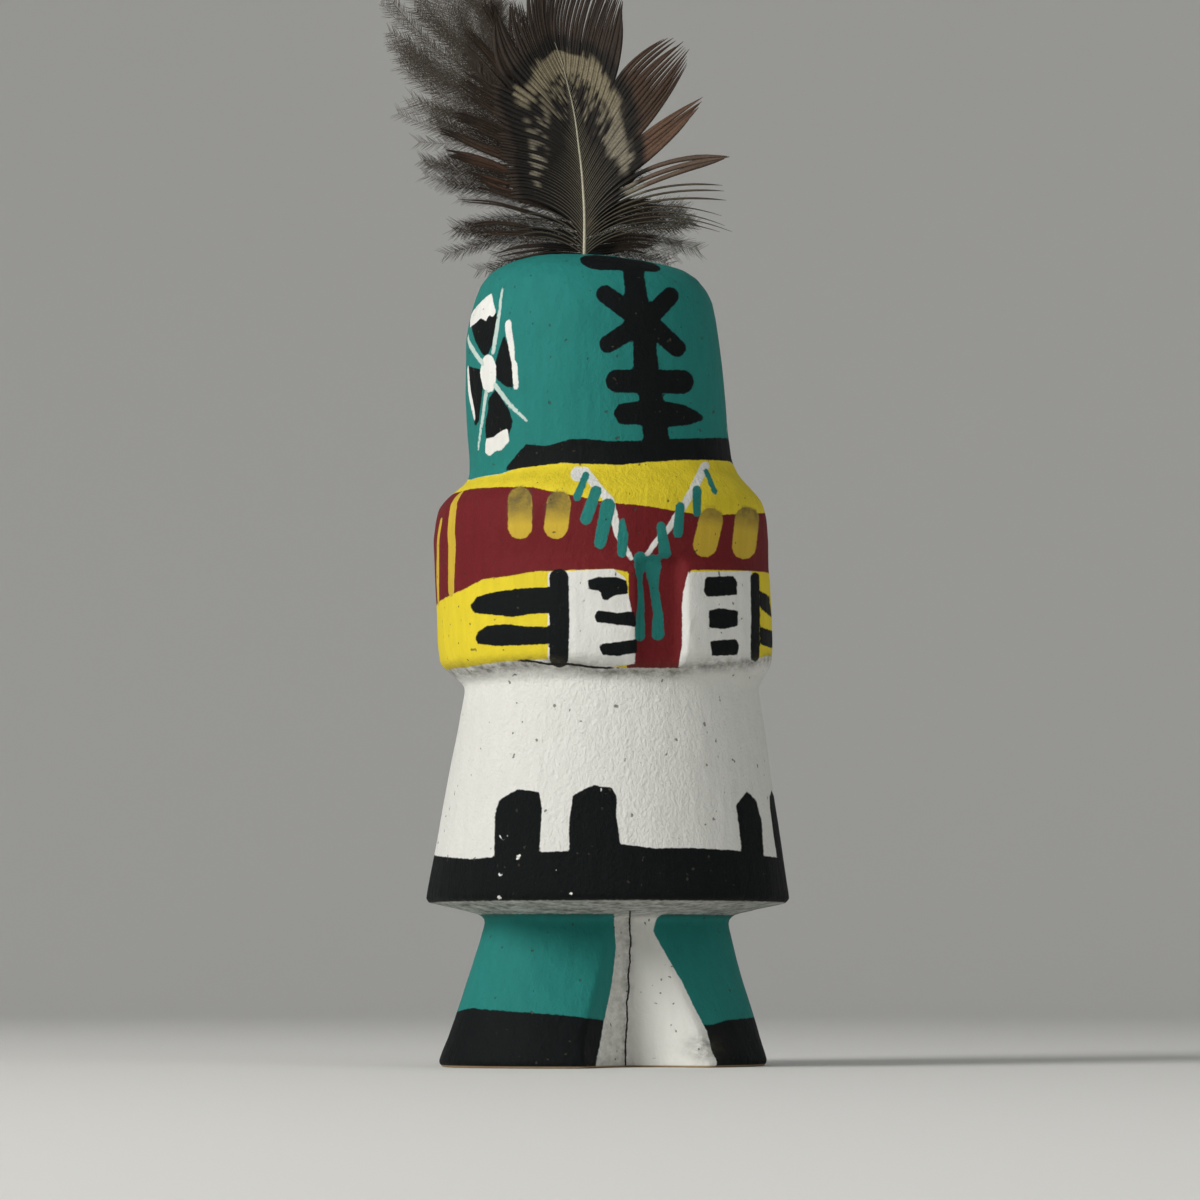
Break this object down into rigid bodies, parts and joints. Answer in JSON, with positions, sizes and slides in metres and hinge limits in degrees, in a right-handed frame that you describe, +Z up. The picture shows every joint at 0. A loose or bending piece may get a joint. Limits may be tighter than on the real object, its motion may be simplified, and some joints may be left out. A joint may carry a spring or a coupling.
{
  "type": "kachina doll",
  "caption": "Small standing kachina doll carved from one piece of root wood, painted, with a tuft of feathers set in the top of its head.",
  "frame": {"origin": "centre of the flat underside of the feet", "axes": "+Z up the doll toward the feathers, -Y the way the doll faces, +X toward the doll's left hand"},
  "size_m": [0.0403, 0.0402, 0.1215],
  "materials": {
    "painted_wood": "matt hand-brushed paint over carved root wood: teal, white, black, dark red, yellow",
    "patterned_feather": "matt barbs, cream with dark spots and brown edges",
    "dark_feather": "matt dark brown barbs with rusty ends",
    "down_feather": "matt grey-brown down"
  },
  "bodies": {
    "root": {"body": "painted_wood", "feather_front": "patterned_feather", "feather_side": "dark_feather", "feather_down": "down_feather"}
  },
  "joints": []
}
